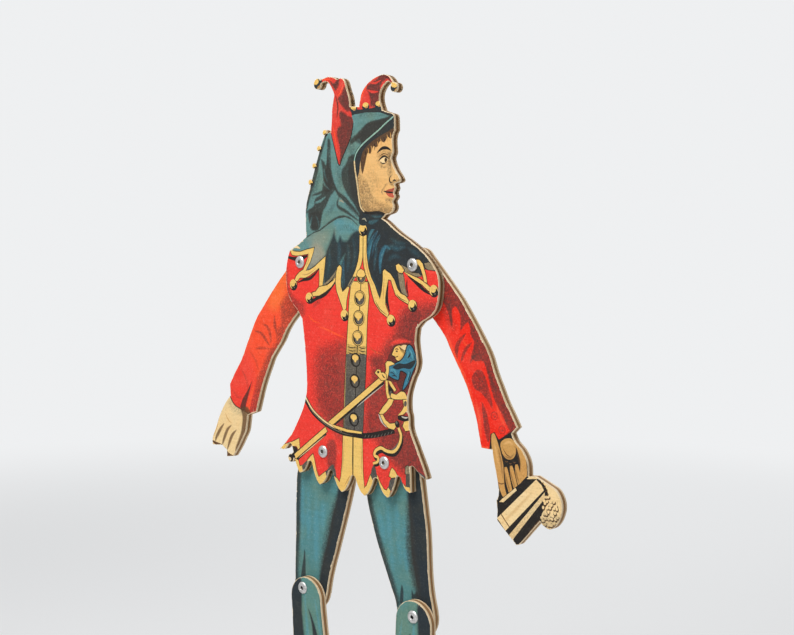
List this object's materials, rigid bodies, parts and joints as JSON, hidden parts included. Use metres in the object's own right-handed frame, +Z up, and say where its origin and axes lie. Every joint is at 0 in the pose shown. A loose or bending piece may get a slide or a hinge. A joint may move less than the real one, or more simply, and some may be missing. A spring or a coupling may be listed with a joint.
{
  "type": "jumping jack",
  "caption": "Flat jester jumping jack of printed plywood plates pinned by blind rivets; arms and thighs rise together on a pull string, and the calves swing at the knees.",
  "frame": {"origin": "mouth of the hang hole in the back of the head, on the back face of the body panel", "axes": "+Z up the figure, -Y out of the printed faces towards the viewer, +X to the viewer's right"},
  "size_m": [0.24, 0.0147, 0.3757],
  "materials": {
    "tunic_print": "matt paper-like print on birch plywood, bare plies on the cut edges and the back",
    "sleeve_print": "matt paper-like print on birch plywood, bare plies on the cut edges and the back",
    "hose_print": "matt paper-like print on birch plywood, bare plies on the cut edges and the back",
    "rivet": "bright drawn aluminium with small dents",
    "mandrel": "dull steel with a broken end",
    "washer": "zinc-plated steel"
  },
  "bodies": {
    "body": {"body_panel": "tunic_print"},
    "left_arm": {"left_arm": "sleeve_print", "left_shoulder_rivet": "rivet", "left_shoulder_mandrel": "mandrel", "left_shoulder_washer": "washer"},
    "right_arm": {"right_arm": "sleeve_print", "right_shoulder_rivet": "rivet", "right_shoulder_mandrel": "mandrel", "right_shoulder_washer": "washer"},
    "left_thigh": {"left_thigh": "hose_print", "left_hip_rivet": "rivet", "left_hip_mandrel": "mandrel", "left_hip_washer": "washer"},
    "right_thigh": {"right_thigh": "hose_print", "right_hip_rivet": "rivet", "right_hip_mandrel": "mandrel", "right_hip_washer": "washer"},
    "left_calf": {"left_calf": "hose_print", "left_knee_rivet": "rivet", "left_knee_mandrel": "mandrel", "left_knee_washer": "washer"},
    "right_calf": {"right_calf": "hose_print", "right_knee_rivet": "rivet", "right_knee_mandrel": "mandrel", "right_knee_washer": "washer"}
  },
  "joints": [
    {"name": "shoulder_left", "type": "hinge", "parent": "body", "child": "left_arm", "pos_m": [-0.039, 0, -0.06], "axis": [0, 1, 0], "range_deg": [0, 90]},
    {"name": "shoulder_right", "type": "hinge", "parent": "body", "child": "right_arm", "pos_m": [0.039, 0, -0.06], "axis": [0, 1, 0], "range_deg": [-90, 0]},
    {"name": "hip_left", "type": "hinge", "parent": "body", "child": "left_thigh", "pos_m": [-0.0215, 0, -0.157], "axis": [0, 1, 0], "range_deg": [0, 45]},
    {"name": "hip_right", "type": "hinge", "parent": "body", "child": "right_thigh", "pos_m": [0.0215, 0, -0.157], "axis": [0, 1, 0], "range_deg": [-45, 0]},
    {"name": "knee_left", "type": "hinge", "parent": "left_thigh", "child": "left_calf", "pos_m": [-0.03665, 0, -0.23147], "axis": [0, 1, 0], "range_deg": [-8, 70]},
    {"name": "knee_right", "type": "hinge", "parent": "right_thigh", "child": "right_calf", "pos_m": [0.04091, 0, -0.22944], "axis": [0, 1, 0], "range_deg": [-70, 8]}
  ],
  "couplings": [
    {"joint": "shoulder_right", "follows": "shoulder_left", "ratio": -1},
    {"joint": "hip_left", "follows": "shoulder_left", "ratio": 0.5},
    {"joint": "hip_right", "follows": "shoulder_left", "ratio": -0.5}
  ]
}
